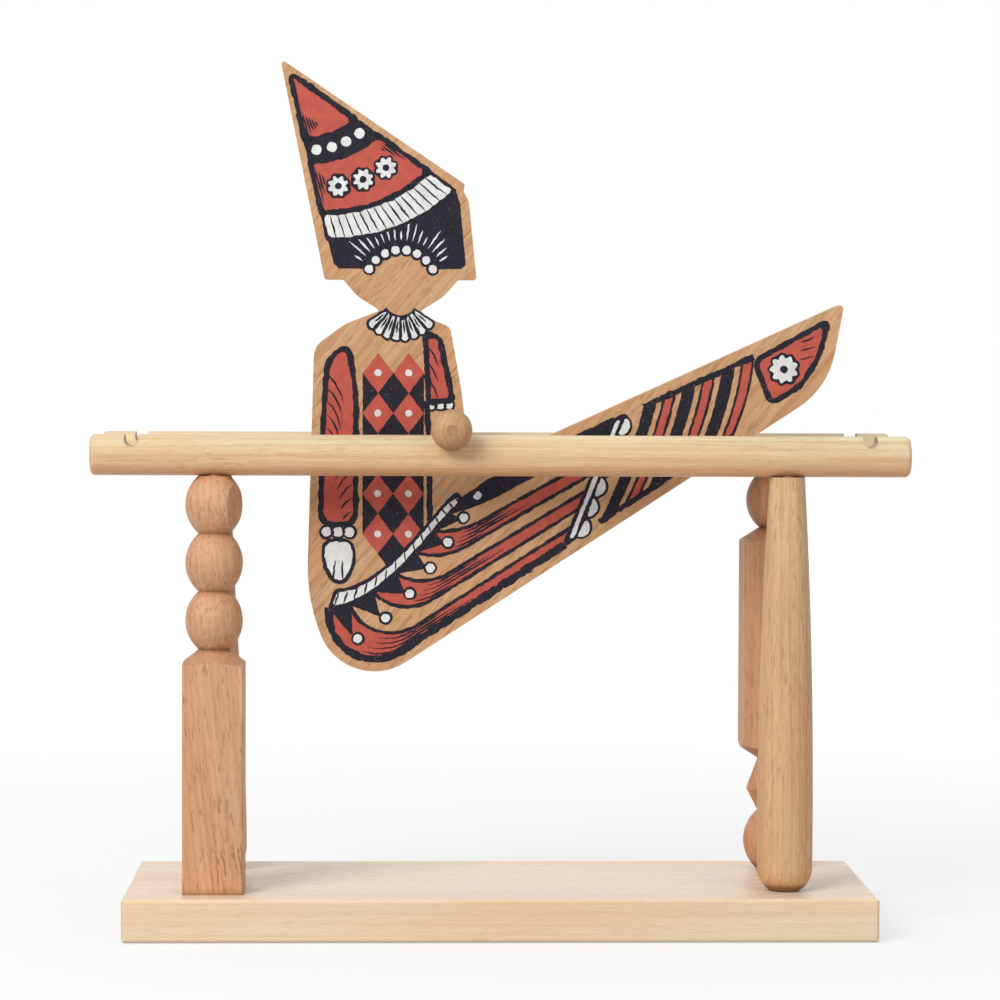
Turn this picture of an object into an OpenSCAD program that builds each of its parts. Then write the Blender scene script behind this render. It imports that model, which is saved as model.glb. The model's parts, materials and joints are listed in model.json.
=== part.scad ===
// Wooden acrobat on parallel bars: a flat figure turns on a thin rod that rolls along two round rails.
// Millimetres, +X along the rails, +Y to the rear, +Z up, origin under the middle of the base.

/* [Base] */
// Length of the base board
base_l = 275; // [240:1:340]
// Depth of the base board, front to rear
base_w = 96; // [84:1:140]
// Thickness of the base board
base_t = 16; // [12:0.5:24]
// Rounding of the base board's edges
base_edge_r = 1.5; // [0.5:0.1:3]

/* [Rails] */
// Length of the rails beyond the post axes, at each end
rail_overhang = 45; // [35:0.5:60]
// Diameter of each rail
rail_d = 15; // [13:0.5:20]
// Rounding of the rail ends
rail_end_r = 1.8; // [0.5:0.1:4]
// Width of the notches that park the rod
notch_w = 5; // [4.4:0.1:7]
// Depth of a notch below the top of the rail
notch_depth = 4.2; // [3:0.1:5]
// Distance from the end of the rail to the middle of a notch
notch_inset = 15; // [8:0.5:22]

/* [All posts] */
// Height of every post, from the base to the rail
post_h = 152.5; // [135:0.5:190]
// Distance of the post axes from the ends of the base
post_end_inset = 32.5; // [24:0.5:45]
// Distance of the post axes from the front and rear edges of the base
post_side_inset = 21; // [14:0.5:24]
// Side of the square stock that the posts are turned from
post_w = 22.2; // [18:0.2:26]
// Rounding of the square edges
post_edge_r = 0.8; // [0.2:0.1:2]
// Height that a turned shoulder takes on the middle of a square face
shoulder_h = 4.2; // [2:0.2:8]
// Further height that it takes at the square edges
shoulder_edge_h = 1.6; // [0.4:0.2:4]

/* [Front left post, beads over a square block] */
// Number of beads
bead_count = 3; // [1:1:4]
// Height of one bead
bead_h = 21.2; // [16:0.2:24]
// Diameter of a bead
bead_d = 21; // [16:0.2:22]
// Diameter of the necks between the beads
bead_neck_d = 11.4; // [8:0.2:13]
// Depth of the flat that the stock left on the top bead
bead_flat = 2.1; // [0.4:0.1:3]
// Angle of that flat from the rail's direction, towards the front
bead_flat_turn = 23; // [0:1:45]

/* [Front right post, a club] */
// Diameter at the top
club_top_d = 12.9; // [10:0.1:16]
// Diameter above the rounded foot
club_belly_d = 20.4; // [17:0.2:24]
// Bulge of the side beyond a straight taper
club_swell = 1.2; // [0.4:0.1:2]

/* [Rear left post, a skittle] */
// Diameter at the top
skittle_top_d = 7.6; // [7.4:0.1:14]
// Diameter above the rounded foot
skittle_belly_d = 19.2; // [17:0.2:24]

/* [Rounded feet of the club and the skittle] */
// Height of the rounded foot
foot_h = 8.5; // [5:0.1:9]
// Diameter of the flat that stands on the base
foot_d = 10.4; // [9:0.1:14]

/* [Rear right post, a vase] */
// Height of the ball at the top
vase_ball_h = 21; // [16:0.2:26]
// Diameter of the ball at the top
vase_ball_d = 19; // [15:0.2:22]
// Diameter of the necks
vase_neck_d = 9; // [8:0.2:12]
// Height of the double cone under the square block
vase_cone_h = 20; // [14:0.5:26]
// Height of the cone's widest line above its lower neck
vase_cone_rise = 8.4; // [5:0.2:12]
// Diameter of the double cone
vase_cone_d = 17.6; // [14:0.2:21]
// Height of the ball at the foot
vase_foot_h = 22.8; // [18:0.2:26]
// Diameter of the ball at the foot
vase_foot_d = 19.6; // [16:0.2:22]

/* [Hidden joinery] */
// Diameter of the dowel pins between the posts and the rails
pin_d = 5; // [4:0.5:6]
// Depth of a pin in the rail
pin_in_rail = 9; // [6:0.5:9.5]
// Depth of a pin in the post
pin_in_post = 12; // [8:0.5:18]
// Diameter of the wood screws under the base
screw_d = 4; // [3:0.5:5]
// Length of a wood screw
screw_l = 38; // [32:1:50]
// Diameter of a screw's countersunk head
screw_head_d = 8; // [7:0.5:10]
// Depth of the screw heads below the underside
screw_sink = 0.6; // [0.3:0.1:1]
// Length of a screw's point
screw_point = 5; // [3:0.5:8]
// Width of the cross recess in a screw's head
recess_w = 1; // [0.6:0.1:1.4]
// Span of the cross recess
recess_span = 4.4; // [3:0.2:5]
// Depth of the cross recess
recess_depth = 1.4; // [0.8:0.1:1.8]
// Radial gap in every glued or screwed joint
glue_gap = 0.05; // [0.02:0.01:0.1]

/* [Rod and balls] */
// Diameter of the rod
rod_d = 4; // [3:0.1:4.2]
// Place of the rod along the rails, from their middle
rod_x = -18.5; // [-100:0.5:100]
// Gap between the rod and the rails
rod_gap = 0.1; // [0.05:0.01:0.3]
// Diameter of the balls on the rod's ends
ball_d = 15; // [12:0.5:18]
// Gap between a ball and its rail
ball_gap = 1.2; // [0.6:0.1:4]
// Radial running gap between the rod and the figure's bore
bore_gap = 0.06; // [0.02:0.01:0.1]

/* [Figure, measured from the rod] */
// Thickness of the board
figure_t = 8; // [5:0.5:12]
// Middle of the head and neck, along the rails
head_x = -18.6; // [-24:0.1:-10]
// Hat: how far its tip leans to the left
hat_lean = 63.4; // [40:0.1:80]
// Hat: height of its tip
hat_rise = 136.8; // [120:0.1:160]
// Hat: place of its right-hand end
hat_end_x = 5.1; // [0:0.1:10]
// Hat: height of its right-hand end
hat_end_rise = 90.7; // [84:0.1:100]
// Brim: width
brim_w = 56.5; // [50:0.1:66]
// Brim: height
brim_rise = 55.2; // [53:0.1:62]
// Nick between the hat and the head: depth
nick_depth = 1.9; // [1:0.1:4]
// Nick: drop below the hat's end
nick_drop = 2.9; // [2:0.1:4]
// Temple: place of the head's widest point
temple_x = 6.7; // [6:0.1:10]
// Temple: drop below the hat's end
temple_drop = 6.5; // [5:0.1:10]
// Jaw: width under the brim
jaw_w = 43; // [36:0.1:48]
// Chin: width
chin_w = 32.1; // [26:0.1:34]
// Chin: height
chin_rise = 49; // [47:0.1:52]
// Neck: width
neck_w = 15; // [12:0.1:24]
// Neck: height
neck_rise = 43.7; // [43:0.1:46]
// Collar: distance of its left corner from the middle of the neck
collar_left = 20.7; // [16:0.1:24]
// Collar: height of its left corner
collar_left_rise = 38.6; // [37:0.1:41]
// Collar: distance of its right corner from the middle of the neck
collar_right = 10.6; // [10:0.1:15]
// Collar: height of its right corner
collar_right_rise = 40.9; // [39:0.1:43]
// Left shoulder: distance to the left
shoulder_left = 50.7; // [44:0.1:56]
// Left shoulder: height
shoulder_left_rise = 30.1; // [24:0.1:34]
// Right shoulder: distance to the right
shoulder_right = -0.1; // [-3:0.1:4]
// Right shoulder: height
shoulder_right_rise = 37.6; // [34:0.1:40]
// Waist: distance to the right
waist_right = 5.2; // [4:0.1:8]
// Waist: height
waist_rise = 8.3; // [4:0.1:14]
// Back: distance to the left, above the seat
back_left = 53.3; // [46:0.1:60]
// Back: drop to where the seat's curve starts
back_drop = 63; // [54:0.1:70]
// Seat: distance of its corner to the left
seat_left = 38.9; // [30:0.1:44]
// Seat: drop of its corner
seat_drop = 102.2; // [92:0.1:106]
// Seat: rounding
seat_r = 21.5; // [10:0.1:26]
// Lap: distance to the right of the inner corner
lap_right = 7.1; // [5:0.1:12]
// Lap: drop of the inner corner
lap_drop = 16.3; // [8:0.1:20]
// Toe: reach to the right
toe_reach = 147.2; // [120:0.1:152]
// Toe: height
toe_rise = 47.4; // [36:0.1:56]
// Heel: reach to the right
heel_reach = 141.1; // [112:0.1:146]
// Heel: height
heel_rise = 15.3; // [6:0.1:24]
// Heel: rounding
heel_r = 31; // [6:0.1:36]

/* [Hidden] */
$fn = 96;

LEFT = -1;
RIGHT = 1;
FRONT = -1;
REAR = 1;

base_wood = "#E4C8A5";
rail_wood = "#DDC296";
post_wood = "#CF9F77";
rear_wood = "#BE8B66";
figure_wood = "#CC9E76";
ball_wood = "#BC916A";
pin_wood = "#D8B98C";
screw_metal = "#A9A9A6";

eps = 0.01;                        // how far a cut runs past a face
arc_step = 6;                      // degrees between the points of a rounded corner
side_steps = 18;                   // stretches that a post's curved side is turned in
core_inset = 0.4;                  // how far the core of a beaded post stays inside its necks
block_half = post_w / 2;
post_spacing = base_l - 2 * post_end_inset;
rail_spacing = base_w - 2 * post_side_inset;
rail_l = post_spacing + 2 * rail_overhang;
rail_z = base_t + post_h + rail_d / 2;
rod_z = rail_z + rail_d / 2 + rod_gap + rod_d / 2;
ball_rise = rod_z - rail_z;
ball_y = rail_spacing / 2 + sqrt(pow((rail_d + ball_d) / 2 + ball_gap, 2) - pow(ball_rise, 2));
rod_half_l = ball_y + sqrt(pow(ball_d, 2) - pow(rod_d, 2)) / 2;
screw_head_h = (screw_head_d - screw_d) / 2;

// Roundings of the figure's lesser corners
tip_r = 1;
nick_r = 0.6;
temple_r = 2;
chin_r = 15.4;
nape_r = 10;
collar_r = 21;
shoulder_left_r = 7.3;
shoulder_right_r = 3.5;
waist_r = 147;
lap_r = 3;
toe_r = 1.5;
back_r = 67;

// Corners of the figure as [x, z, rounding], clockwise from the tip of the hat
figure_corners = [
    [-hat_lean, hat_rise, tip_r],
    [hat_end_x, hat_end_rise, nick_r],
    [temple_x - nick_depth, hat_end_rise - nick_drop, nick_r],
    [temple_x, hat_end_rise - temple_drop, temple_r],
    [head_x + brim_w / 2, brim_rise, tip_r],
    [head_x + jaw_w / 2, brim_rise, nick_r],
    [head_x + chin_w / 2, chin_rise, chin_r],
    [head_x + neck_w / 2, neck_rise, nick_r],
    [head_x + collar_right, collar_right_rise, nape_r],
    [shoulder_right, shoulder_right_rise, shoulder_right_r],
    [waist_right, waist_rise, waist_r],
    [lap_right, -lap_drop, lap_r],
    [toe_reach, toe_rise, toe_r],
    [heel_reach, heel_rise, heel_r],
    [-seat_left, -seat_drop, seat_r],
    [-back_left, -back_drop, back_r],
    [-shoulder_left, shoulder_left_rise, shoulder_left_r],
    [head_x - collar_left, collar_left_rise, collar_r],
    [head_x - neck_w / 2, neck_rise, nick_r],
    [head_x - chin_w / 2, chin_rise, chin_r],
    [head_x - jaw_w / 2, brim_rise, nick_r],
    [head_x - brim_w / 2, brim_rise, tip_r],
];

function unit(v) = v / norm(v);
function flat(corner) = [corner.x, corner.y];
function shortest_turn(a) = a > 180 ? a - 360 : a < -180 ? a + 360 : a;

// Points of the arc that rounds corner b between its neighbours a and c
function corner_arc(a, b, c) =
    let (to_a = unit(flat(a) - flat(b)), to_c = unit(flat(c) - flat(b)))
    let (half_angle = acos(to_a * to_c) / 2, radius = b.z)
    let (centre = flat(b) + unit(to_a + to_c) * radius / sin(half_angle))
    let (start = flat(b) + to_a * radius / tan(half_angle) - centre)
    let (finish = flat(b) + to_c * radius / tan(half_angle) - centre)
    let (start_angle = atan2(start.y, start.x))
    let (sweep = shortest_turn(atan2(finish.y, finish.x) - start_angle))
    let (steps = max(1, ceil(abs(sweep) / arc_step)))
    [for (i = [0 : steps])
        centre + radius * [cos(start_angle + sweep * i / steps), sin(start_angle + sweep * i / steps)]];

function rounded_outline(corners) =
    let (count = len(corners))
    [for (i = [0 : count - 1])
        each corner_arc(corners[(i + count - 1) % count], corners[i], corners[(i + 1) % count])];

// Rectangle about the origin with round corners, from squares and circles
module round_rectangle(length, width, radius) {
    square([length - 2 * radius, width], center = true);
    square([length, width - 2 * radius], center = true);
    for (x = [-1, 1], y = [-1, 1])
        translate([x * (length / 2 - radius), y * (width / 2 - radius)]) circle(radius);
}

// Half section of one turned bead that stands on z = 0
module bead_profile(height, diameter, neck) {
    swell = (diameter - neck) / 2;
    arc_r = (pow(height / 2, 2) + pow(swell, 2)) / (2 * swell);
    intersection() {
        translate([diameter / 2 - arc_r, height / 2]) circle(arc_r);
        square([diameter, height]);
    }
}

// Half section of the core that runs through the necks of a beaded post
module core_profile(neck) {
    square([neck / 2 - core_inset, post_h]);
}

// Square block between z = 0 and height, its ends turned down to the necks
module turned_block(height, neck, top_shoulder, foot_shoulder) {
    edge_reach = block_half * (sqrt(2) - 1);
    lathe_r = block_half + 2 * edge_reach;
    full_drop = shoulder_h + 2 * shoulder_edge_h;
    foot_side = foot_shoulder
        ? [[neck / 2, 0], [block_half, shoulder_h], [lathe_r, full_drop]]
        : [[lathe_r, 0]];
    top_side = top_shoulder
        ? [[lathe_r, height - full_drop], [block_half, height - shoulder_h], [neck / 2, height]]
        : [[lathe_r, height]];
    intersection() {
        linear_extrude(height) round_rectangle(post_w, post_w, post_edge_r);
        rotate_extrude() polygon(concat([[0, 0]], foot_side, top_side, [[0, height]]));
    }
}

// Half section of a rounded foot that stands on z = 0, up to the belly over it
module foot_profile(belly_d) {
    belly_r = belly_d / 2;
    foot_r = foot_d / 2;
    centre_r = (pow(belly_r, 2) - pow(foot_r, 2) - pow(foot_h, 2)) / (2 * (belly_r - foot_r));
    intersection() {
        translate([centre_r, foot_h]) circle(belly_r - centre_r);
        square([belly_d, foot_h]);
    }
}

// Puts a post, its pin or its screw at one corner of the stand
module at_post(side_x, side_y) {
    translate([side_x * post_spacing / 2, side_y * rail_spacing / 2, base_t]) children();
}

// Holes for the rail's pin and the base's screw in a post
module drilled_post() {
    difference() {
        children();
        translate([0, 0, post_h - pin_in_post - glue_gap])
            cylinder(d = pin_d + 2 * glue_gap, h = pin_in_post + glue_gap + eps);
        translate([0, 0, -eps])
            cylinder(d = screw_d + 2 * glue_gap, h = screw_l + screw_sink - base_t + glue_gap + eps);
    }
}

module base_board() {
    color(base_wood) difference() {
        intersection() {
            linear_extrude(base_t) round_rectangle(base_l, base_w, base_edge_r);
            translate([0, 0, base_t / 2]) rotate([90, 0, 0])
                linear_extrude(base_w, center = true) round_rectangle(base_l, base_t, base_edge_r);
            translate([0, 0, base_t / 2]) rotate([90, 0, 90])
                linear_extrude(base_l, center = true) round_rectangle(base_w, base_t, base_edge_r);
        }
        for (x = [LEFT, RIGHT], y = [FRONT, REAR])
            translate([x * post_spacing / 2, y * rail_spacing / 2, 0]) screw_hole();
    }
}

// Countersunk hole through the base, from the underside
module screw_hole() {
    translate([0, 0, -eps]) cylinder(d = screw_d + 2 * glue_gap, h = base_t + 2 * eps);
    translate([0, 0, -eps]) cylinder(d = screw_head_d + 2 * glue_gap, h = screw_sink + eps);
    translate([0, 0, screw_sink])
        cylinder(d1 = screw_head_d + 2 * glue_gap, d2 = screw_d + 2 * glue_gap, h = screw_head_h);
}

module front_left_post() {
    block_h = post_h - bead_count * bead_h;
    color(post_wood) at_post(LEFT, FRONT) drilled_post() union() {
        turned_block(block_h, bead_neck_d, true, false);
        difference() {
            rotate_extrude() {
                core_profile(bead_neck_d);
                for (i = [0 : bead_count - 1])
                    translate([0, block_h + i * bead_h]) bead_profile(bead_h, bead_d, bead_neck_d);
            }
            translate([0, 0, post_h - bead_h]) rotate([0, 0, -bead_flat_turn])
                translate([bead_d / 2 - bead_flat, -bead_d / 2, 0]) cube([bead_flat + eps, bead_d, bead_h]);
        }
    }
}

function blend(a, b, t) = a * (1 - t) + b * t;
function side_height(t) = blend(foot_h, post_h, t);

// Half section of a post whose curved side stands over a rounded foot
module footed_profile(belly_d, side) {
    polygon(concat([[0, foot_h]], side, [[0, post_h]]));
    foot_profile(belly_d);
}

// The club's side bulges out from a straight taper
module front_right_post() {
    side = [for (i = [0 : side_steps])
        let (t = i / side_steps)
        [blend(club_belly_d, club_top_d, t) / 2 + 4 * club_swell * t * (1 - t), side_height(t)]];
    color(post_wood) at_post(RIGHT, FRONT) drilled_post()
        rotate_extrude() footed_profile(club_belly_d, side);
}

// The skittle's side sweeps from a full belly to a slim neck
module rear_left_post() {
    side = [for (i = [0 : side_steps])
        let (t = i / side_steps)
        [blend(skittle_belly_d, skittle_top_d, t * t * (3 - 2 * t)) / 2, side_height(t)]];
    color(rear_wood) at_post(LEFT, REAR) drilled_post()
        rotate_extrude() footed_profile(skittle_belly_d, side);
}

module rear_right_post() {
    cone_z = vase_foot_h;
    block_z = cone_z + vase_cone_h;
    ball_z = post_h - vase_ball_h;
    neck_r = vase_neck_d / 2;
    color(rear_wood) at_post(RIGHT, REAR) drilled_post() union() {
        rotate_extrude() {
            core_profile(vase_neck_d);
            bead_profile(vase_foot_h, vase_foot_d, vase_neck_d);
            translate([0, cone_z]) polygon([
                [0, 0], [neck_r, 0], [vase_cone_d / 2, vase_cone_rise], [neck_r, vase_cone_h], [0, vase_cone_h],
            ]);
            translate([0, ball_z]) bead_profile(vase_ball_h, vase_ball_d, vase_neck_d);
        }
        translate([0, 0, block_z]) turned_block(ball_z - block_z, vase_neck_d, true, true);
    }
}

// One round rail with its parking notches and the holes for the pins
module rail(side_y) {
    color(rail_wood) translate([0, side_y * rail_spacing / 2, rail_z]) difference() {
        rotate([0, 90, 0]) rotate_extrude() intersection() {
            round_rectangle(rail_d, rail_l, rail_end_r);
            translate([0, -rail_l / 2]) square([rail_d, rail_l]);
        }
        for (x = [LEFT, RIGHT]) {
            translate([x * (rail_l / 2 - notch_inset), 0, rail_d / 2 - notch_depth]) notch();
            translate([x * post_spacing / 2, 0, -rail_d / 2 - eps])
                cylinder(d = pin_d + 2 * glue_gap, h = pin_in_rail + glue_gap + eps);
        }
    }
}

// Round-bottomed slot across a rail, its lowest line at z = 0
module notch() {
    rotate([90, 0, 0]) linear_extrude(rail_d, center = true) {
        translate([0, notch_w / 2]) circle(d = notch_w);
        translate([-notch_w / 2, notch_w / 2]) square([notch_w, rail_d]);
    }
}

module front_rail() { rail(FRONT); }
module rear_rail() { rail(REAR); }

module axle_rod() {
    color(ball_wood) translate([rod_x, 0, rod_z]) rotate([90, 0, 0])
        cylinder(d = rod_d, h = 2 * rod_half_l, center = true);
}

// Wooden ball that is glued on one end of the rod
module ball(side_y) {
    color(ball_wood) translate([rod_x, side_y * ball_y, rod_z]) difference() {
        sphere(d = ball_d);
        rotate([90, 0, 0]) cylinder(d = rod_d + 2 * glue_gap, h = ball_d + 2 * eps, center = true);
    }
}

module front_ball() { ball(FRONT); }
module rear_ball() { ball(REAR); }

module acrobat_figure() {
    color(figure_wood) translate([rod_x, 0, rod_z]) rotate([90, 0, 0]) difference() {
        linear_extrude(figure_t, center = true) polygon(rounded_outline(figure_corners));
        cylinder(d = rod_d + 2 * bore_gap, h = figure_t + 2 * eps, center = true);
    }
}

// Dowel pin from the top of a post into its rail
module pin(side_x, side_y) {
    color(pin_wood) at_post(side_x, side_y) translate([0, 0, post_h - pin_in_post])
        cylinder(d = pin_d, h = pin_in_post + pin_in_rail);
}

module front_left_pin() { pin(LEFT, FRONT); }
module front_right_pin() { pin(RIGHT, FRONT); }
module rear_left_pin() { pin(LEFT, REAR); }
module rear_right_pin() { pin(RIGHT, REAR); }

// Countersunk wood screw from under the base into a post
module screw(side_x, side_y) {
    shank_top = screw_l - screw_point;
    color(screw_metal) at_post(side_x, side_y) translate([0, 0, screw_sink - base_t]) difference() {
        rotate_extrude() polygon([
            [0, 0], [screw_head_d / 2, 0], [screw_d / 2, screw_head_h],
            [screw_d / 2, shank_top], [0, screw_l],
        ]);
        for (turn = [0, 90])
            rotate([0, 0, turn]) translate([-recess_span / 2, -recess_w / 2, -eps])
                cube([recess_span, recess_w, recess_depth + eps]);
    }
}

module front_left_screw() { screw(LEFT, FRONT); }
module front_right_screw() { screw(RIGHT, FRONT); }
module rear_left_screw() { screw(LEFT, REAR); }
module rear_right_screw() { screw(RIGHT, REAR); }

base_board();
front_left_post();
front_right_post();
rear_left_post();
rear_right_post();
front_rail();
rear_rail();
axle_rod();
front_ball();
rear_ball();
acrobat_figure();
front_left_pin();
front_right_pin();
rear_left_pin();
rear_right_pin();
front_left_screw();
front_right_screw();
rear_left_screw();
rear_right_screw();
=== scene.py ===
import json
import math

import bmesh
import bpy
from mathutils import Euler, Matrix, Quaternion, Vector, noise


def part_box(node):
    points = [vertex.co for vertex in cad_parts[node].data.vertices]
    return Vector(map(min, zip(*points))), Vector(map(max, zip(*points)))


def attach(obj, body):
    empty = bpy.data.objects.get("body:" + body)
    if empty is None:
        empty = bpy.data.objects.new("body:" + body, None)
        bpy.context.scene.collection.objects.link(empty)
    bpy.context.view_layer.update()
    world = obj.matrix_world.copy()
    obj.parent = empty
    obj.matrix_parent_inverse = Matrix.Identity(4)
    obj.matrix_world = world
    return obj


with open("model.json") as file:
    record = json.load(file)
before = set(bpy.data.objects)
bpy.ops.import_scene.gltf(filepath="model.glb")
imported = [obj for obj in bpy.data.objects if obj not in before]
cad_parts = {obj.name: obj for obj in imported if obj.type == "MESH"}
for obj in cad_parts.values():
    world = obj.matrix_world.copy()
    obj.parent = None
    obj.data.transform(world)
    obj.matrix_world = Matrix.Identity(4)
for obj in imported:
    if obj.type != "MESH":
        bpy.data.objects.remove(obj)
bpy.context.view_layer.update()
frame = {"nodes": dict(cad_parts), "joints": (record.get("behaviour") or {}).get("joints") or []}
nodes = frame["nodes"]
scene = bpy.context.scene

MM = 0.001
WHITE = (1.0, 1.0, 1.0, 1.0)
BUMP_STRENGTH = 0.7
NOISE_ROUGHNESS = 0.6


# Short calls that build the node tree of a material or of the world

class Graph:
    def __init__(self, owner):
        owner.use_nodes = True
        self.owner = owner
        self.tree = owner.node_tree
        self.tree.nodes.clear()

    def add(self, kind, inputs, **settings):
        node = self.tree.nodes.new("ShaderNode" + kind)
        for key, value in settings.items():
            setattr(node, key, value)
        for key, value in inputs.items():
            if isinstance(value, bpy.types.NodeSocket):
                self.tree.links.new(value, node.inputs[key])
            else:
                node.inputs[key].default_value = value
        return node

    def place(self, kind="Object"):
        return self.add("TexCoord", {}).outputs[kind]

    def math(self, operation, a, b=0.0):
        return self.add("Math", {0: a, 1: b}, operation=operation).outputs[0]

    def scaled(self, value, factor, plus=0.0):
        return self.add("Math", {0: value, 1: factor, 2: plus}, operation="MULTIPLY_ADD").outputs[0]

    def remap(self, value, low, high, to_low=0.0, to_high=1.0):
        return self.add("MapRange", {0: value, 1: low, 2: high, 3: to_low, 4: to_high}).outputs[0]

    def length(self, vector):
        return self.add("VectorMath", {0: vector}, operation="LENGTH").outputs["Value"]

    def stretch(self, vector, along, across=1.0):
        return self.add("Mapping", {"Vector": vector, "Scale": (along, across, across)}).outputs[0]

    def noise(self, vector, scale, detail, low=0.3, high=0.7):
        node = self.add("TexNoise", {
            "Vector": vector, "Scale": scale, "Detail": detail, "Roughness": NOISE_ROUGHNESS})
        return self.remap(node.outputs[0], low, high)

    def streaks(self, vector, along, scale, detail, low=0.3, high=0.7):
        """Noise drawn out along X, the longer the smaller along is."""
        return self.noise(self.stretch(vector, along), scale, detail, low, high)

    def mix(self, factor, a, b, blend="MIX"):
        node = self.add("Mix", {0: factor, 6: a, 7: b}, data_type="RGBA", blend_type=blend)
        return node.outputs[2]

    def seen(self):
        """1 for a ray from the camera, straight or by way of a mirror or glass, and 0 for other light."""
        ray = self.add("LightPath", {}).outputs
        mirrored = self.math("MAXIMUM", ray["Is Glossy Ray"], ray["Is Transmission Ray"])
        return self.math("MAXIMUM", ray["Is Camera Ray"], mirrored)

    def output(self, shader, kind="OutputMaterial"):
        self.tree.links.new(shader.outputs[0], self.add(kind, {}).inputs[0])
        return self.owner

    def surface(self, height, depth, inputs):
        normal = self.add("Bump", {"Strength": BUMP_STRENGTH, "Distance": depth, "Height": height}).outputs[0]
        return self.output(self.add("BsdfPrincipled", {"Normal": normal, **inputs}))


def tinted(colour, tint):
    return (*(part * share for part, share in zip(colour, tint)), 1.0)


# Wood: growth rings round a distant pith, long streaks, dark pores, patches of hue, darker end grain

ALONG_X = (0.0, 0.0, 0.0)
ALONG_Y = (0.0, 0.0, -math.pi / 2)
ALONG_Z = (0.0, math.pi / 2, 0.0)

# Tints of a wood's own tone
PALE = (1.15, 1.22, 1.32)
DEEP = (0.79, 0.68, 0.58)
DARK = (0.50, 0.35, 0.25)
# Painted shade in creases
CREASE_SHADE_TINT = (0.40, 0.26, 0.18)
PINK = (1.03, 0.84, 0.76, 1.0)
# Painted shade, pinker and darker, under each rail
UNDERSIDE_SHADE_TINT = (1.18, 0.76, 0.63, 1.0)

# Where those tints lie and how strong they are
GROUND = 0.09  # lightness before the patterns are added
WAVE_PITCH = 0.314  # length of one wave at a scale of 1
RING_STRETCH = 0.05
LATE_WOOD = 0.55  # height of the ring wave where late wood starts
FEW_PORES = 0.35
MANY_PORES = 1.45
PORE_DEPTH = 1.2
# Painted shade under the rails: how far its upper edge wanders, and how far it fades in below and above the
# given height
SHADE_LINE_WANDER = 5.0 * MM
SHADE_FADE_BELOW = 4.0 * MM
SHADE_FADE_ABOVE = 6.0 * MM
END_FACING = 0.6  # end grain starts where the fibres meet the surface this squarely
END_DARK = 0.4
# Painted shade in creases grows from full to none between these shares of the sky
CREASE_FULL_SHADE = 0.40  # share of the sky that a black crease sees
CREASE_NO_SHADE = 0.80
# Notches: darker brown, as sawn end grain and as painted shade in the recess
NOTCH_DARKEN = 0.6
NOTCH_DARKEN_FULL = 0.05 * MM
NOTCH_DARKEN_GONE = 0.35 * MM
TOOL_MARKS = 1.4
ROUGHNESS_SPAN = 0.14
GRAIN_DEPTH = 0.09 * MM
WOOD_SPECULAR = 0.45


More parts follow.
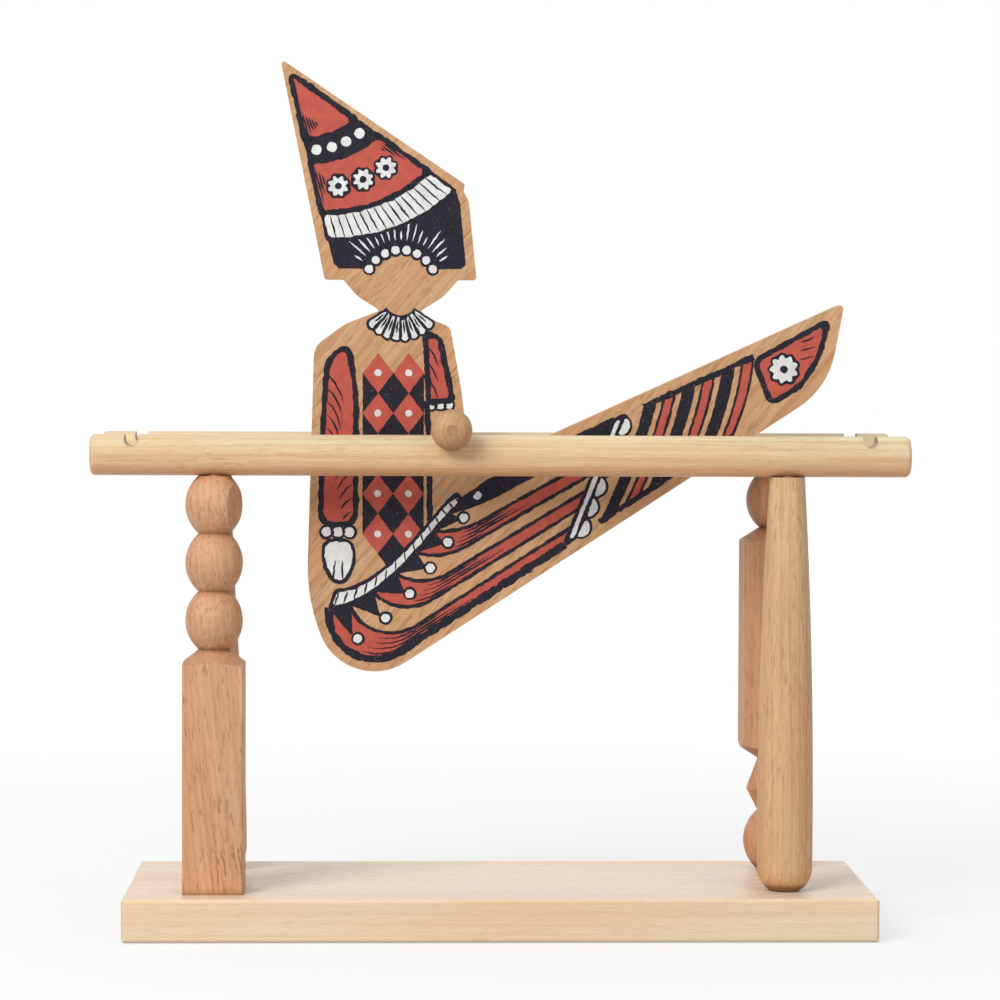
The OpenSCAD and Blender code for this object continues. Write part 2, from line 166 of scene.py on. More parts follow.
def wood_grain(graph, tone, turn, pith, ring=3.0, pores=0.3, contrast=1.0, smoothest=0.46,
               lathe=0.0, heart=None, grime=0.0, grime_local=False, sawn=None):
    """Colour, roughness and height of wood; turn brings the grain's direction onto X.

    The place of the pith and the width of a ring are in millimetres, and other lengths in metres. Below the
    height heart the wood is painted pinker and darker as shade under the piece, shade is painted into creases
    over the distance grime, and the walls of the notches that sawn gives, as x, z and radius, are darker
    brown, as sawn end grain and as painted shade in the recess.
    """
    place = graph.place()
    split = graph.add("SeparateXYZ", {0: place}).outputs
    grain = graph.add("Mapping", {
        "Vector": place, "Location": pith, "Rotation": turn, "Scale": (1 / MM, 1 / MM, 1 / MM)}).outputs[0]
    brown = tinted(tone, DARK)

    broad = graph.streaks(grain, along=0.03, scale=0.20, detail=5.0)
    fine = graph.streaks(grain, along=0.025, scale=1.3, detail=3.0)
    hair = graph.streaks(grain, along=0.05, scale=3.0, detail=2.0)
    hue = graph.streaks(grain, along=0.12, scale=0.05, detail=3.0)
    crowd = graph.streaks(grain, along=0.30, scale=0.06, detail=2.0)
    pore = graph.streaks(grain, along=0.13, scale=1.3, detail=1.5, low=0.56, high=0.68)
    pore = graph.math("MULTIPLY", pore, graph.remap(crowd, 0.0, 1.0, FEW_PORES, MANY_PORES))
    rings = graph.add("TexWave", {
        "Vector": graph.stretch(grain, RING_STRETCH), "Scale": WAVE_PITCH / ring, "Distortion": 4.0,
        "Detail": 2.0, "Detail Scale": 1.1, "Detail Roughness": 0.5},
        wave_type="RINGS", rings_direction="X", wave_profile="SIN").outputs[1]
    late = graph.remap(rings, LATE_WOOD, 1.0)

    value = GROUND
    for pattern, share in ((broad, 0.50), (fine, 0.34), (hair, 0.24), (late, -0.20)):
        value = graph.scaled(pattern, share, value)
    value = graph.scaled(value, contrast, 0.5 * (1.0 - contrast))
    colour = graph.mix(value, tinted(tone, DEEP), tinted(tone, PALE))
    tint = graph.mix(hue, WHITE, PINK)
    # Painted shade: below the given height the wood turns pinker and darker, as a rail's underside in shade
    if heart is not None:
        level = graph.scaled(broad, SHADE_LINE_WANDER, split["Z"])
        tint = graph.mix(graph.remap(level, heart - SHADE_FADE_BELOW, heart + SHADE_FADE_ABOVE), UNDERSIDE_SHADE_TINT, tint)
    colour = graph.mix(1.0, colour, tint, "MULTIPLY")
    colour = graph.mix(graph.scaled(pore, pores), colour, brown)

    fibre = Euler(turn).to_matrix().inverted() @ Vector((1.0, 0.0, 0.0))
    facing = graph.add("VectorMath", {0: graph.place("Normal"), 1: fibre}, operation="DOT_PRODUCT")
    squarely = graph.math("ABSOLUTE", facing.outputs["Value"])
    colour = graph.mix(graph.remap(squarely, END_FACING, 1.0, 0.0, END_DARK), colour, brown)
    # Painted shade: creases that see little of the sky within the given distance turn dark brown
    if grime:
        sky = graph.add("AmbientOcclusion", {"Distance": grime}, samples=8, only_local=grime_local)
        painted_crease_shade = graph.remap(sky.outputs["AO"], CREASE_FULL_SHADE, CREASE_NO_SHADE, 1.0, 0.0)
        colour = graph.mix(painted_crease_shade, colour, tinted(tone, CREASE_SHADE_TINT))
    # Notch walls and floor turn darker brown, as sawn end grain and as painted shade in the recess
    if sawn is not None:
        x, z, radius = sawn
        aside = graph.math("SUBTRACT", graph.math("ABSOLUTE", split["X"]), x)
        under = graph.math("MINIMUM", graph.math("SUBTRACT", split["Z"], z), 0.0)
        away = graph.length(graph.add("CombineXYZ", {0: aside, 1: under}).outputs[0])
        notch_darken = graph.remap(away, radius + NOTCH_DARKEN_FULL, radius + NOTCH_DARKEN_GONE, NOTCH_DARKEN, 0.0)
        colour = graph.mix(notch_darken, colour, brown)

    roughness = graph.remap(fine, 0.0, 1.0, smoothest, smoothest + ROUGHNESS_SPAN)
    height = graph.math("SUBTRACT", hair, graph.scaled(pore, PORE_DEPTH * pores))
    if lathe:
        marks = graph.noise(graph.stretch(grain, 1.0, across=0.0), scale=TOOL_MARKS, detail=3.0)
        height = graph.scaled(marks, lathe, height)
    return colour, roughness, height


def wood(name, tone, turn, pith, fuzz=0.0, **details):
    graph = Graph(bpy.data.materials.new(name))
    colour, roughness, height = wood_grain(graph, tone, turn, pith, **details)
    return graph.surface(height, GRAIN_DEPTH, {
        "Base Color": colour, "Roughness": roughness,
        "Specular IOR Level": WOOD_SPECULAR, "Sheen Weight": fuzz})


# Clouded zinc for the screws

ZINC_DULL = (0.50, 0.50, 0.49, 1.0)
ZINC_BRIGHT = (0.66, 0.66, 0.65, 1.0)
ZINC_SMOOTHEST = 0.26
ZINC_ROUGHEST = 0.42
ZINC_CLOUDS = 900.0
ZINC_DEPTH = 0.02 * MM


def zinc(name):
    graph = Graph(bpy.data.materials.new(name))
    cloud = graph.noise(graph.place(), scale=ZINC_CLOUDS, detail=3.0)
    return graph.surface(cloud, ZINC_DEPTH, {
        "Base Color": graph.mix(cloud, ZINC_DULL, ZINC_BRIGHT),
        "Roughness": graph.remap(cloud, 0.0, 1.0, ZINC_SMOOTHEST, ZINC_ROUGHEST), "Metallic": 1.0})


# Tones and directions of grain, and the notches that were sawn into the rails

BASE = (0.83, 0.70, 0.485)
RAIL = (0.68, 0.59, 0.355)
POST = (0.61, 0.355, 0.192)
CLUB = (0.625, 0.44, 0.233)
REAR_POST = (0.545, 0.304, 0.154)
BOARD = (0.55, 0.34, 0.17)
BALL = (0.53, 0.32, 0.153)
PIN = (0.68, 0.48, 0.27)
BLOCK_GRAIN = (0.0, math.radians(96), 0.0)
BOARD_GRAIN = (0.0, math.radians(50), 0.0)
BOARD_PITH = (310.0, 65.0, 40.0)
BOARD_RING = 3.6
RAIL_LOW, RAIL_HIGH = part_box("front_rail")
NOTCH_R = 2.5 * MM
NOTCH_INSET = 15.0 * MM
NOTCH_DEPTH = 4.2 * MM
NOTCH = (RAIL_HIGH.x - NOTCH_INSET, RAIL_HIGH.z - NOTCH_DEPTH + NOTCH_R, NOTCH_R)
# Turned pieces: lathe marks, and painted shade in their creases
TURNED_AND_CREASE_SHADED = {"lathe": 0.3, "grime": 4.5 * MM}
# Rails: pores and sheen, painted shade under them and in their creases and notches, and darker notch walls
SANDED_AND_SHADED = {"pores": 0.25, "smoothest": 0.36, "fuzz": 0.1, "heart": (RAIL_LOW.z + RAIL_HIGH.z) / 2,
          "grime": 12.0 * MM, "grime_local": True, "sawn": NOTCH}

finishes = {
    "base_board": wood(
        "base_wood", BASE, ALONG_X, pith=(40.0, 30.0, 90.0),
        ring=4.0, pores=0.12, smoothest=0.2, contrast=0.38, fuzz=0.35),
    "front_rail": wood("front_rail_wood", RAIL, ALONG_X, pith=(90.0, 60.0, -150.0), ring=3.4, **SANDED_AND_SHADED),
    "rear_rail": wood("rear_rail_wood", RAIL, ALONG_X, pith=(450.0, 20.0, -210.0), **SANDED_AND_SHADED),
    "axle_rod": wood("rod_wood", BALL, ALONG_Y, pith=(20.0, 15.0, 30.0), ring=2.0),
    "front_left_post": wood(
        "front_left_wood", POST, BLOCK_GRAIN, pith=(0.0, 80.0, 60.0), ring=2.6, pores=0.6, **TURNED_AND_CREASE_SHADED),
    "front_right_post": wood(
        "front_right_wood", CLUB, ALONG_Z, pith=(200.0, 70.0, -140.0),
        ring=3.2, pores=0.4, contrast=1.25, **TURNED_AND_CREASE_SHADED),
    "rear_left_post": wood(
        "rear_left_wood", REAR_POST, ALONG_Z, pith=(400.0, 20.0, 60.0), contrast=1.4, **TURNED_AND_CREASE_SHADED),
    "rear_right_post": wood(
        "rear_right_wood", REAR_POST, ALONG_Z, pith=(600.0, 10.0, -40.0), contrast=1.4, **TURNED_AND_CREASE_SHADED),
    "acrobat_figure": wood(
        "board_wood", BOARD, BOARD_GRAIN, BOARD_PITH, ring=BOARD_RING, pores=0.5, contrast=1.35),
    "front_ball": wood("front_ball_wood", BALL, ALONG_Z, pith=(30.0, 70.0, 25.0), ring=2.2, pores=0.5),
    "rear_ball": wood("rear_ball_wood", BALL, ALONG_Z, pith=(130.0, -20.0, 35.0), ring=2.2, pores=0.5),
}
pin_wood = wood("pin_wood", PIN, ALONG_Z, pith=(10.0, 20.0, 30.0), ring=2.0)
screw_zinc = zinc("screw_zinc")
for name, node in nodes.items():
    node.data.materials.clear()
    fallback = screw_zinc if name.endswith("_screw") else pin_wood
    node.data.materials.append(finishes.get(name, fallback))


# Hand-softened edges on the sawn pieces

EDGE_W = 0.35 * MM
EDGE_ANGLE = math.radians(35)
SAME_PLACE = 0.002 * MM


def soften(node):
    node.modifiers.new("weld", "WELD").merge_threshold = SAME_PLACE
    bevel = node.modifiers.new("bevel", "BEVEL")
    bevel.width = EDGE_W
    bevel.segments = 2
    bevel.limit_method = "ANGLE"
    bevel.angle_limit = EDGE_ANGLE
    bevel.use_clamp_overlap = True
    node.modifiers.new("normals", "WEIGHTED_NORMAL").keep_sharp = True


for name in ("front_rail", "rear_rail", "front_left_post", "rear_right_post", "acrobat_figure"):
    soften(nodes[name])


# Print on both faces of the figure: a clown's dress in red, dark and white ink, measured in mm from the rod

board_low, board_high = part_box("acrobat_figure")
rod = Vector(next(joint for joint in frame["joints"] if joint["name"] == "spin")["pos_m"])


def between(a, b, t):
    return (a[0] + (b[0] - a[0]) * t, a[1] + (b[1] - a[1]) * t)


def steps(count):
    return [i / count for i in range(count + 1)]


def bend(a, b, c, count=16):
    """Points of the curve from a to c that b pulls to itself."""
    return [between(between(a, b, t), between(b, c, t), t) for t in steps(count)]


def polar(centre, radius, angle):
    """The point at a radius and an angle, in degrees, from a centre."""
    turn = math.radians(angle)
    return (centre[0] + radius * math.cos(turn), centre[1] + radius * math.sin(turn))


def around(centre, radius, start, finish, count=16):
    """Points of an arc, its angles in degrees."""
    return [polar(centre, radius, start + (finish - start) * t) for t in steps(count)]


def rounded(corners, reach):
    """Closed outline whose corners are rounded from that far off."""
    outline = []
    for i, corner in enumerate(corners):
        before = corners[i - 1]
        after = corners[(i + 1) % len(corners)]
        start = between(corner, before, min(0.5, reach / math.dist(corner, before)))
        finish = between(corner, after, min(0.5, reach / math.dist(corner, after)))
        outline += bend(start, corner, finish, count=6)
    return outline


def rosette(centre, radius, lobes, depth, lobe_steps=10):
    """Closed outline with lobes, and clefts of that depth between them."""
    outline = []
    for t in steps(lobe_steps * lobes)[:-1]:
        reach = radius - depth * (1 - abs(math.sin(lobes * math.pi * t)))
        outline.append(polar(centre, reach, 360 * t))
    return outline


def disc(centre, radius):
    return around(centre, radius, 0, 360, count=24)[:-1]


# How ink lies on wood: gaps between drawn points, ragged edges, lines that swell, and films that overlap

POINT_GAP = 0.7
SAME_POINT = 0.05  # points closer than this are one
EDGE_WANDER = 0.24
EDGE_WAVES = 0.7  # per mm, as those of the swell
NIB_SWELL = 0.4  # share of a line's width, as the spread
NIB_SWELL_WAVES = 0.25
NIB_SPREAD = 0.3
FOLD_SPAN = 12  # points to each side that a fold may reach
FOLD_LIMIT = 0.99
MIDDLE_SEED = 3.0
LEFT_SEED = 5.0
RIGHT_SEED = 7.0
SEED_STEP = 20.0
FILL_STEP = 0.0003  # how much higher than the last one a fill or stroke lies
STROKE_STEP = 0.0001
SUNK = -0.02  # height of the underside of every film


def resampled(path, closed):
    """The same path with points that are close and even."""
    ends = path[1:] + path[:1] if closed else path[1:]
    points = []
    for a, b in zip(path, ends):
        run = math.dist(a, b)
        count = max(1, round(run / POINT_GAP)) if run > SAME_POINT else 0
        points += [between(a, b, i / count) for i in range(count)]
    return points if closed else points + [path[-1]]


def uneven(point, waves, seed):
    """Smooth noise from -1 to 1 at a point, the same each run."""
    return noise.noise(Vector((point[0] * waves, point[1] * waves, seed)))


def ragged(point, seed):
    """A point moved a little, as ink spreads in wood."""
    x = point[0] + EDGE_WANDER * uneven(point, EDGE_WAVES, seed)
    z = point[1] + EDGE_WANDER * uneven(point, EDGE_WAVES, seed + SEED_STEP)
    return (x, z)


def stroke_side(points, closed, half, taper, sign, seed):
    """One side of a stroke, drawn together where it would fold over inside a sharp corner."""
    count = len(points)
    last = count - 1
    side = []
    reaches = []
    for i, point in enumerate(points):
        before = points[i - 1] if closed or i > 0 else point
        after = points[(i + 1) % count] if closed or i < last else point
        run = Vector((after[0] - before[0], after[1] - before[1])).normalized()
        narrow = 1 - taper * abs(2 * i / max(1, last) - 1) ** 2
        swell = NIB_SWELL * uneven(point, NIB_SWELL_WAVES, half)
        spread = NIB_SPREAD * uneven(point, EDGE_WAVES, seed)
        reach = half * narrow * (1 + swell + spread)
        reaches.append(reach)
        side.append((point[0] - sign * run.y * reach, point[1] + sign * run.x * reach))

    def folds(i):
        near = range(i - FOLD_SPAN, i + FOLD_SPAN + 1)
        places = [j % count for j in near] if closed else [j for j in near if 0 <= j <= last]
        return any(math.dist(side[i], points[j]) < FOLD_LIMIT * reaches[i] for j in places)

    folded = [folds(i) for i in range(count)]
    bad = [folded[i - 1] or folded[i] or folded[(i + 1) % count] for i in range(count)]
    if not closed:
        bad[0] = bad[-1] = False
    if all(bad):
        return side
    result = []
    for i in range(count):
        before = i
        after = i
        while bad[before]:
            before -= 1
        while bad[after % count]:
            after += 1
        result.append(between(side[before], side[after % count], 0.5))
    return result


class Print:
    """One layer of ink, gathered as fills and strokes; film is how far it stands on the wood, in mm."""

    def __init__(self, film):
        self.film = film
        self.fills = []
        self.strips = []

    def fill(self, outline):
        self.fills.append([ragged(p, self.film) for p in resampled(outline, True)])

    def stroke(self, path, width, closed=False, taper=0.0):
        points = [ragged(p, MIDDLE_SEED) for p in resampled(path, closed)]
        left = stroke_side(points, closed, width / 2, taper, 1, LEFT_SEED)
        right = stroke_side(points, closed, width / 2, taper, -1, RIGHT_SEED)
        self.strips.append((left, right, closed))

    def outlined(self, outline, width):
        self.fill(outline)
        line.stroke(outline, width, closed=True)

    def piece(self, name, surface_y, outward):
        """A thin closed film of ink on one face of the board."""
        mesh = bmesh.new()

        def layer(points, depth):
            y = surface_y + outward * depth * MM
            verts = {}
            for point in points:
                if point not in verts:
                    verts[point] = mesh.verts.new((rod.x + point[0] * MM, y, rod.z + point[1] * MM))
            return [verts[point] for point in points]

        def face(corners):
            corners = list(dict.fromkeys(corners))
            if len(corners) > 2:
                mesh.faces.new(corners)

        for number, outline in enumerate(self.fills):
            top = layer(outline, self.film + FILL_STEP * number)
            bottom = layer(outline, SUNK)
            mesh.faces.new(top)
            mesh.faces.new(bottom[::-1])
            for i in range(len(top)):
                mesh.faces.new((top[i - 1], bottom[i - 1], bottom[i], top[i]))
        for number, (left, right, closed) in enumerate(self.strips):
            film = self.film + STROKE_STEP * number
            rings = list(zip(layer(left, film), layer(right, film), layer(right, SUNK), layer(left, SUNK)))
            for a, b in zip(rings, rings[1:] + rings[:1] if closed else rings[1:]):
                for i in range(4):
                    face((a[i - 1], a[i], b[i], b[i - 1]))
            if not closed:
                face(rings[0])
                face(rings[-1][::-1])
        bmesh.ops.recalc_face_normals(mesh, faces=mesh.faces)
        data = bpy.data.meshes.new(name)
        mesh.to_mesh(data)
        mesh.free()
        piece = bpy.data.objects.new(name, data)
        scene.collection.objects.link(piece)
        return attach(piece, "figure")


# Inks from the lowest film to the highest, widths of line, and motifs that come back

red = Print(film=0.03)
dark = Print(film=0.05)
white = Print(film=0.07)
line = Print(film=0.10)
HEAVY = 3.0
CONTOUR = 2.1
SEAM = 1.3
THIN = 0.9
FINE = 0.7
RUN_OUT = 0.9
NARROWED = 0.6


def hatch(path):
    """One stroke of shading that runs out at both ends."""
    line.stroke(path, FINE, taper=RUN_OUT)


def crease(path):
    """One fold line that narrows at both ends."""
    line.stroke(path, FINE, taper=NARROWED)


def flower(centre, radius, lobes, depth, eye):
    white.outlined(rosette(centre, radius, lobes, depth), THIN)
    line.fill(disc(centre, eye))


def bead(centre, radius):
    white.outlined(disc(centre, radius), THIN)


# Cone hat with bands that follow its brim; u goes across the hat and v from its tip to its brim

HAT_TIP = (-60.0, 131.7)
HAT_LEFT = (-45.8, 70.0)
HAT_RIGHT = (1.6, 88.4)
HAT_AXIS = (0.34, -0.94)
HAT_SAG = 5.0
HAT_STEPS = 24
ROUND_TIP = 0.06
CONE_SIDE = (0.10, 0.20, 0.30)
CONE_END = 0.40
BAND_END = 0.53
CROWN_END = 0.84
DOTS_U = (0.14, 0.38, 0.62, 0.86)
DOTS_V = 0.466
DOT_R = 1.9
FLOWERS_U = (0.23, 0.50, 0.77)
FLOWERS_V = 0.69
BRIM_FOLDS = 16
BRIM_FOLD = (0.853, 0.988)


def hat(u, v):
    x, z = between(between(HAT_TIP, HAT_LEFT, v), between(HAT_TIP, HAT_RIGHT, v), u)
    sag = HAT_SAG * v * 4 * u * (1 - u)
    return (x + HAT_AXIS[0] * sag, z + HAT_AXIS[1] * sag)


def hat_band(top, bottom):
    return [hat(u, top) for u in steps(HAT_STEPS)] + [hat(1 - u, bottom) for u in steps(HAT_STEPS)]


cone = [hat(0.0, v) for v in (CONE_END, *reversed(CONE_SIDE))]
cone += bend(hat(0.0, ROUND_TIP), HAT_TIP, hat(1.0, ROUND_TIP))
cone += [hat(1.0, v) for v in CONE_SIDE]
cone += [hat(1 - u, CONE_END) for u in steps(HAT_STEPS)][:-1]
red.outlined(cone, CONTOUR)
dark.outlined(hat_band(CONE_END, BAND_END), SEAM)
red.outlined(hat_band(BAND_END, CROWN_END), CONTOUR)
white.outlined(hat_band(CROWN_END, 1.0), SEAM)
for u in DOTS_U:
    white.fill(disc(hat(u, DOTS_V), DOT_R))
for u in FLOWERS_U:
    flower(hat(u, FLOWERS_V), radius=4.4, lobes=8, depth=1.2, eye=1.3)
for u in steps(BRIM_FOLDS)[1:-1]:
    crease([hat(u, v) for v in BRIM_FOLD])

# Shading on the cone, then down both sides of the crown
for i in range(5):
    hatch([hat(0.10 + 0.06 * i, 0.24 + 0.015 * i), hat(0.09 + 0.06 * i, 0.385 - 0.012 * i)])
for i in range(3):
    hatch([hat(0.042 + 0.03 * i, 0.57 + 0.02 * i), hat(0.042 + 0.03 * i, 0.80 - 0.06 * i)])
    hatch([hat(0.958 - 0.03 * i, 0.57 + 0.01 * i), hat(0.958 - 0.03 * i, 0.72 - 0.05 * i)])


# Dark hood, gathered to a white trim of pearls round the bare wood of the head

HEAD = (-18.5, 52.8)
HOOD_RIGHT = [(3.4, 83.5), (5.6, 60.8), (3.8, 59.2)]
HOOD_LEFT = [(-41.6, 59.2), (-43.4, 61.0)]
TRIM_R = 13.4
TRIM_START = 28
TRIM_END = 152
PEARLS = 8
PEARL_PITCH = 17.7
PEARL_R = 2.0
FOLDS = 17
FOLDS_START = 33
FOLDS_PITCH = 7.1
FOLDS_GAP = 3.6
FOLDS_R = TRIM_R + FOLDS_GAP
FOLD_SHORT = 3.6
FOLD_STEP = 1.6
FOLD_LENGTHS = 4

hood = [hat(u, 1.0) for u in steps(HAT_STEPS)] + HOOD_RIGHT
hood += around(HEAD, TRIM_R, TRIM_START, TRIM_END, count=24) + HOOD_LEFT
dark.fill(hood)
for i in range(PEARLS):
    bead(polar(HEAD, TRIM_R, TRIM_START + PEARL_PITCH * i), PEARL_R)
for i in range(FOLDS):
    angle = FOLDS_START + FOLDS_PITCH * i
    reach = FOLD_SHORT + FOLD_STEP * (i % FOLD_LENGTHS)
    fold = [polar(HEAD, FOLDS_R, angle), polar(HEAD, FOLDS_R + reach, angle)]
    white.stroke(fold, FINE, taper=RUN_OUT)


# Pleated ruff under the head

RUFF = (-18.6, 48.0)
RUFF_START = 222
RUFF_SPAN = 96
RUFF_NECK_R = 6.5
RUFF_R = 14.0
PLEATS = 8
PLEAT_HALF = 6.4
PLEAT_TIP_R = 1.9
PLEAT_LINE = (8.0, 13.0)

for i in range(PLEATS):
    middle = RUFF_START + RUFF_SPAN * i / (PLEATS - 1)
    tip = polar(RUFF, RUFF_R, middle)
    pleat = around(RUFF, RUFF_NECK_R, middle + PLEAT_HALF, middle - PLEAT_HALF, count=2)
    pleat += around(tip, PLEAT_TIP_R, middle - 90, middle + 90, count=8)
    white.outlined(pleat, THIN)
    hatch([polar(RUFF, radius, middle) for radius in PLEAT_LINE])


# Sleeves along both sides of the body, cuffs of beads and a mitten

LEFT_SLEEVE = [(-45.8, 25.4), (-38.0, 31.4), (-35.0, 12.0), (-35.2, -36.0), (-48.2, -36.0), (-47.4, 0.0)]
LEFT_SLEEVE_ROUND = 5.0
LEFT_HATCHES = 5
LEFT_HATCH_PITCH = -5.0
LEFT_CUFF = (-46.0, -38.8)
LEFT_CUFF_PITCH = 4.3
LEFT_CUFF_R = 2.3
RIGHT_SLEEVE = [(-9.4, 35.4), (-4.0, 33.6), (0.9, 10.5), (-8.0, 9.5)]
RIGHT_SLEEVE_ROUND = 2.0
RIGHT_HATCH_PITCH = -6.0
RIGHT_CUFF = (-7.0, 8.4)
RIGHT_CUFF_PITCH = 3.3
RIGHT_CUFF_R = 1.8
CUFF_BEADS = 3
MITTEN = [(-47.0, -41.8), (-36.4, -41.8), (-35.2, -50.0), (-38.8, -57.6), (-43.6, -57.6), (-47.4, -50.0)]
MITTEN_ROUND = 4.0

red.outlined(rounded(LEFT_SLEEVE, LEFT_SLEEVE_ROUND), CONTOUR)
red.outlined(rounded(RIGHT_SLEEVE, RIGHT_SLEEVE_ROUND), CONTOUR)
for i in range(LEFT_HATCHES):
    z = LEFT_HATCH_PITCH * i
    hatch(bend((-46.2, 20.0 + z), (-42.0, 17.0 + z), (-39.5 - 0.6 * i, 9.0 + z)))
    hatch(bend((-36.4, -11.0 + z), (-39.6, -13.0 + z), (-43.0 + 0.8 * i, -20.0 + 0.7 * z)))

# The right sleeve has as many strokes of shading as a cuff has beads
for i in range(CUFF_BEADS):
    z = RIGHT_HATCH_PITCH * i
    hatch(bend((-8.2, 30.0 + z), (-6.0, 28.0 + z), (-4.6, 23.0 + z)))
    bead((LEFT_CUFF[0] + LEFT_CUFF_PITCH * i, LEFT_CUFF[1]), LEFT_CUFF_R)
    bead((RIGHT_CUFF[0] + RIGHT_CUFF_PITCH * i, RIGHT_CUFF[1]), RIGHT_CUFF_R)
white.outlined(rounded(MITTEN, MITTEN_ROUND), SEAM)
for i in range(2):
    crease(bend((-43.2 + 3.4 * i, -56.6), (-43.4 + 3.2 * i, -53.0), (-42.6 + 2.6 * i, -49.6)))


# Lozenges in two colours down the front of the body

LOZENGE_W = 5.7
LOZENGE_H = 7.5
LOZENGE_ROWS = 5
PANEL_X = -21.2
PANEL_TOP = 20.5
STUD_R = 1.3
SIDE_SEAM = bend((-8.8, 10.0), (-7.4, -14.0), (-7.6, -34.6))


def lozenge(x, z):
    return [(x, z + LOZENGE_H), (x + LOZENGE_W, z), (x, z - LOZENGE_H), (x - LOZENGE_W, z)]


for i in range(LOZENGE_ROWS):
    z = PANEL_TOP - 2 * LOZENGE_H * i
    dark.fill(lozenge(PANEL_X, z - LOZENGE_H))
    for side in (-1, 1):
        x = PANEL_X + side * LOZENGE_W
        edge = x + side * LOZENGE_W
        if i < LOZENGE_ROWS - 1:
            dark.fill([(edge, z), (x, z - LOZENGE_H), (edge, z - 2 * LOZENGE_H)])
        red.fill(lozenge(x, z))
        white.fill(disc((x, z), STUD_R))
line.stroke(SIDE_SEAM, CONTOUR)


# Striped breeches under a belt with dark dags and bells

LEG_LOW = ((-20.5, -84.7), (123.5, 9.2))
LEG_HIGH = ((9.0, -20.4), (128.0, 33.7))
SEAT = (-28.0, -69.4)
SEAT_R = 17.0
SEAT_START = 172
SEAT_END = 303
LAP = (5.0, -27.0)
LAP_PULL = (10.0, -20.5)
BODY_MIDDLE = (-20.0, -4.0)
KNEE = 0.44
STRIPES = 7
SEAM_STEPS = 40
SHADE_START = 0.20
SHADE_INSET = 0.03
SHADE_PITCH = 0.028
SHADE_POINTS = (10, 22, 18, 14)
BELT_DIP = 0.10
BELT_W = 0.10
BELT_FOLD = (0.15, 0.85)
HEM_STEPS = 30
DAG_REACH = 0.12
BELL_REACH = 0.15
BELL_R = 2.1


def leg(s, t):
    """Place at share s of the leg's length, from its low edge at t = 0 to its high edge."""
    return between(between(*LEG_LOW, s), between(*LEG_HIGH, s), t)


seat_arc = around(SEAT, SEAT_R, SEAT_START, SEAT_END, count=20)
low_side = resampled(seat_arc + [leg(KNEE, 0.0)], closed=False)
high_side = resampled(bend(LAP, LAP_PULL, leg(KNEE, 1.0)), closed=False)


def along(path, s):
    """The point that lies at share s of an even path."""
    place = min(max(s, 0.0), 1.0) * (len(path) - 1)
    first = min(int(place), len(path) - 2)
    return between(path[first], path[first + 1], place - first)


def breeches(s, t):
    """Place on the breeches from the belt at s = 0 to the knee, low on the leg at t = 0."""
    start = BELT_DIP * 4 * t * (1 - t)
    s = start + (1 - start) * s
    return between(along(low_side, s), along(high_side, s), t)


def seam(t, start=0.0):
    return [breeches(start + (1 - start) * s, t) for s in steps(SEAM_STEPS)]


for i in range(STRIPES):
    low = i / STRIPES
    high = (i + 1) / STRIPES
    middle = (low + high) / 2
    stripe = seam(low) + seam(high)[::-1]
    if i == STRIPES - 1:
        dark.fill(stripe)
    elif i % 2 == 0:
        red.fill(stripe)
        for k, points in enumerate(SHADE_POINTS):
            hatch(seam(low + SHADE_INSET + SHADE_PITCH * k, SHADE_START)[:points])
    if i > 0:
        line.stroke(seam(low), SEAM)
    dark.outlined([breeches(0.0, low), breeches(DAG_REACH, middle), breeches(0.0, high)], THIN)
    bead(breeches(BELL_REACH, middle), BELL_R)
line.stroke(seam(0.0), HEAVY)
line.stroke(seam(1.0), CONTOUR)
hem = [breeches(0.0, t) for t in steps(HEM_STEPS)]
waist = [between(point, BODY_MIDDLE, BELT_W) for point in hem]
white.outlined(hem + waist[::-1], SEAM)
for i in range(1, len(hem) - 1, 2):
    crease([between(hem[i], waist[i], share) for share in BELT_FOLD])


# Frilled knee, hooped stocking and a slipper with a flower

FRILLS = 6
FRILL_R = 4.1
FRILL_FACING = -21.6
CUFF_W = 0.03
CUFF_END = KNEE + CUFF_W
CUFF_ROUND = 1.2
HOOPS = 6
HOOPS_START = 0.535
HOOP_PITCH = 0.061
HOOP_W = 0.034
HOOP_BOW = 0.05
HOOP_STEPS = 14
STOCKING_SIDE = (0.53, 0.6, 0.7, 0.8, 0.876)
SLIPPER = [(113.5, 25.4), (141.0, 40.6), (137.8, 27.5), (131.3, 16.8), (120.0, 9.2)]
SLIPPER_ROUND = 3.5
SLIPPER_FLOWER = (124.6, 22.4)

for i in range(FRILLS):
    middle = leg(CUFF_END, (i + 0.5) / FRILLS)
    white.outlined(around(middle, FRILL_R, FRILL_FACING - 90, FRILL_FACING + 90), THIN)
knee_cuff = [leg(KNEE, 0.0), leg(KNEE, 1.0), leg(CUFF_END, 1.0), leg(CUFF_END, 0.0)]
white.outlined(rounded(knee_cuff, CUFF_ROUND), SEAM)


def hoop(s):
    near = [leg(s + HOOP_BOW * t * (1 - t), t) for t in steps(HOOP_STEPS)]
    far = [leg(s + HOOP_W + HOOP_BOW * t * (1 - t), t) for t in steps(HOOP_STEPS)]
    return near + far[::-1]


for i in range(HOOPS):
    ink = red if i % 2 else dark
    ink.outlined(hoop(HOOPS_START + HOOP_PITCH * i), THIN)
for t in (0.0, 1.0):
    line.stroke([leg(s, t) for s in STOCKING_SIDE], CONTOUR)
red.outlined(rounded(SLIPPER, SLIPPER_ROUND), CONTOUR)
flower(SLIPPER_FLOWER, radius=5.8, lobes=9, depth=1.3, eye=1.5)
for i in range(3):
    hatch(bend((130.6, 32.6 - 3.2 * i), (132.8, 32.8 - 3.2 * i), (136.0, 34.6 - 3.6 * i)))


# Ink that the wood shows through where it is thin or rubbed, on both faces

INK_SHADE = (0.86, 0.84, 0.84)
INK_LIGHT = (1.12, 1.12, 1.12)
INK_LEFT = 0.35
LEAST_RUBBED = 0.25
INK_DEPTH = 0.05 * MM
INK_SPECULAR = 0.15


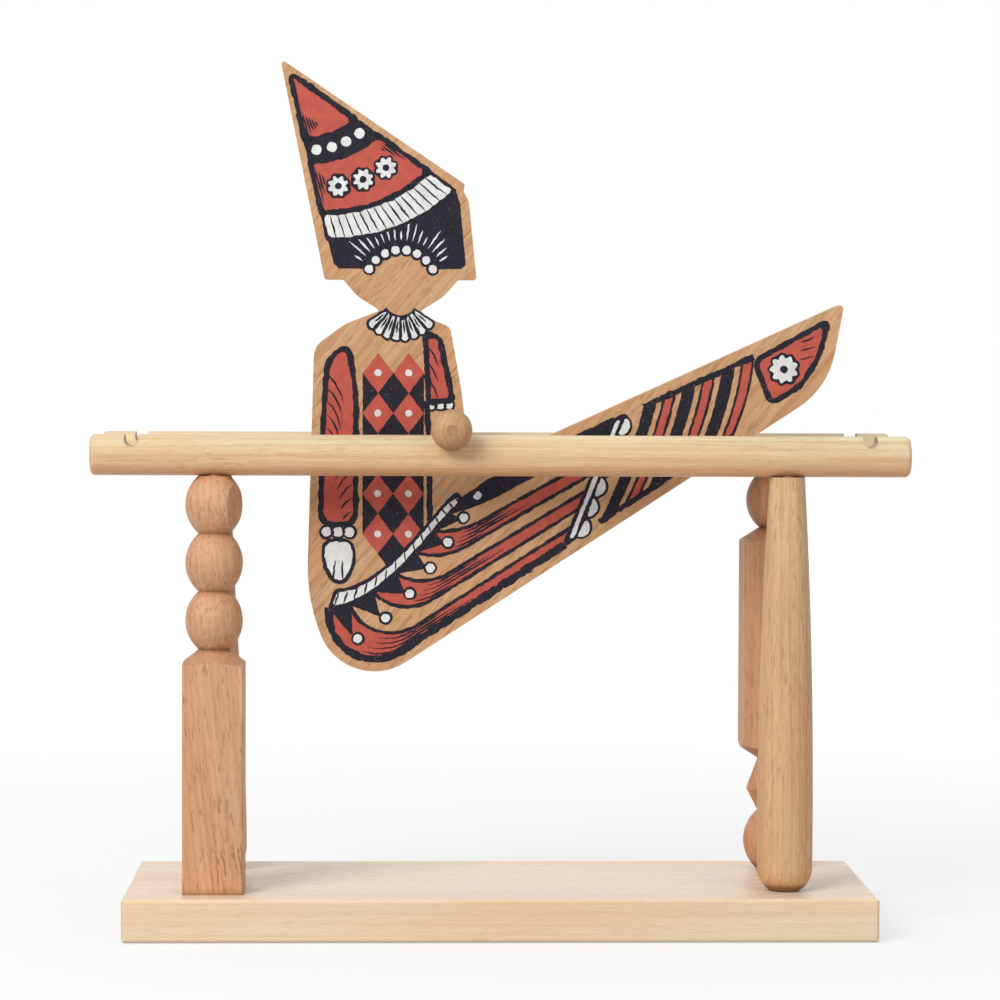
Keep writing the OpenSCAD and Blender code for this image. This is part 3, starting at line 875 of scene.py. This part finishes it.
def ink_finish(name, colour, cover):
    graph = Graph(bpy.data.materials.new(name))
    bare, roughness, height = wood_grain(graph, BOARD, BOARD_GRAIN, BOARD_PITH, ring=BOARD_RING)
    place = graph.place()
    rubbed = graph.noise(place, scale=1300.0, detail=4.0, low=0.60, high=0.74)
    worn = graph.noise(place, scale=90.0, detail=3.0, low=0.50, high=0.75)
    shown = graph.math("MULTIPLY", rubbed, graph.remap(worn, 0.0, 1.0, LEAST_RUBBED, 1.0))
    hold = graph.remap(shown, 0.0, 1.0, cover, INK_LEFT)
    tone = graph.noise(place, scale=260.0, detail=3.0)
    shade = graph.mix(tone, tinted(colour, INK_SHADE), tinted(colour, INK_LIGHT))
    return graph.surface(height, INK_DEPTH, {
        "Base Color": graph.mix(hold, bare, shade), "Roughness": roughness,
        "Specular IOR Level": INK_SPECULAR})


red_ink = ink_finish("red_ink", colour=(0.50, 0.088, 0.067), cover=0.95)
white_ink = ink_finish("white_ink", colour=(0.74, 0.77, 0.77), cover=0.95)
dark_ink = ink_finish("dark_ink", colour=(0.006, 0.009, 0.021), cover=0.985)
layers = {
    "red_print": (red, red_ink, "red_ink"),
    "dark_print": (dark, dark_ink, "dark_ink"),
    "white_print": (white, white_ink, "white_ink"),
    "line_print": (line, dark_ink, "dark_ink"),
}
for name, (drawing, material, slot) in layers.items():
    for side, surface_y, outward in (("front_", board_low.y, -1), ("rear_", board_high.y, 1)):
        film = drawing.piece(side + name, surface_y, outward)
        film.data.materials.append(material)


# White studio: a pale floor that keeps a soft shadow, a white surround and three soft lamps

FLOOR_R = 6.0
FLOOR_Z = -0.2 * MM
FLOOR_TONE = (0.5, 0.5, 0.5, 1.0)
SEEN_FLOOR_TONE = (0.92, 0.92, 0.92, 1.0)
NEAR_GLOW = 0.65
GLOW_START = 0.15
GLOW_FULL = 0.6
AMBIENT = 0.38
MIDDLE = Vector((0.0, 0.0, 0.15))


def pale_floor():
    graph = Graph(bpy.data.materials.new("floor"))
    seen = graph.seen()
    plain = graph.add("BsdfDiffuse", {"Color": graph.mix(seen, FLOOR_TONE, SEEN_FLOOR_TONE)}).outputs[0]
    glow = graph.add("Emission", {"Color": WHITE, "Strength": 1.0}).outputs[0]
    away = graph.length(graph.place())
    share = graph.math("MULTIPLY", seen, graph.remap(away, GLOW_START, GLOW_FULL, NEAR_GLOW, 1.0))
    return graph.output(graph.add("MixShader", {0: share, 1: plain, 2: glow}))


bpy.ops.mesh.primitive_circle_add(vertices=96, radius=FLOOR_R, fill_type="NGON", location=(0.0, 0.0, FLOOR_Z))
floor = bpy.context.object
floor.name = "floor"
floor.data.materials.append(pale_floor())

scene.world = bpy.data.worlds.new("surround")
surround = Graph(scene.world)
strength = surround.remap(surround.seen(), 0.0, 1.0, AMBIENT, 1.0)
surround.output(surround.add("Background", {"Color": WHITE, "Strength": strength}), "OutputWorld")


def lamp(name, place, size, power):
    light = bpy.data.lights.new(name, "AREA")
    light.size = size
    light.energy = power
    lamp_object = bpy.data.objects.new(name, light)
    lamp_object.location = place
    lamp_object.rotation_euler = (MIDDLE - Vector(place)).to_track_quat("-Z", "Y").to_euler()
    scene.collection.objects.link(lamp_object)


lamp("key", place=(-0.9, -1.2, 1.1), size=0.9, power=23.0)
lamp("fill", place=(1.2, -1.5, 0.6), size=1.2, power=6.5)
lamp("top", place=(0.0, 0.4, 1.6), size=1.2, power=6.0)


# Camera at the photographed viewing angle

EYE = Vector((-0.0384, -1.2730, 0.2102))
AIM = Vector((0.0003, 0.0, 0.1587))
ROLL = 0.0039
LENS = 122.6
SENSOR = 36.0
camera_data = bpy.data.cameras.new("camera")
camera_data.lens = LENS
camera_data.sensor_width = SENSOR
camera = bpy.data.objects.new("camera", camera_data)
camera.location = EYE
upright = (AIM - EYE).to_track_quat("-Z", "Y")
camera.rotation_euler = (upright @ Quaternion((0.0, 0.0, 1.0), ROLL)).to_euler()
scene.collection.objects.link(camera)
scene.camera = camera
scene.view_settings.view_transform = "Standard"
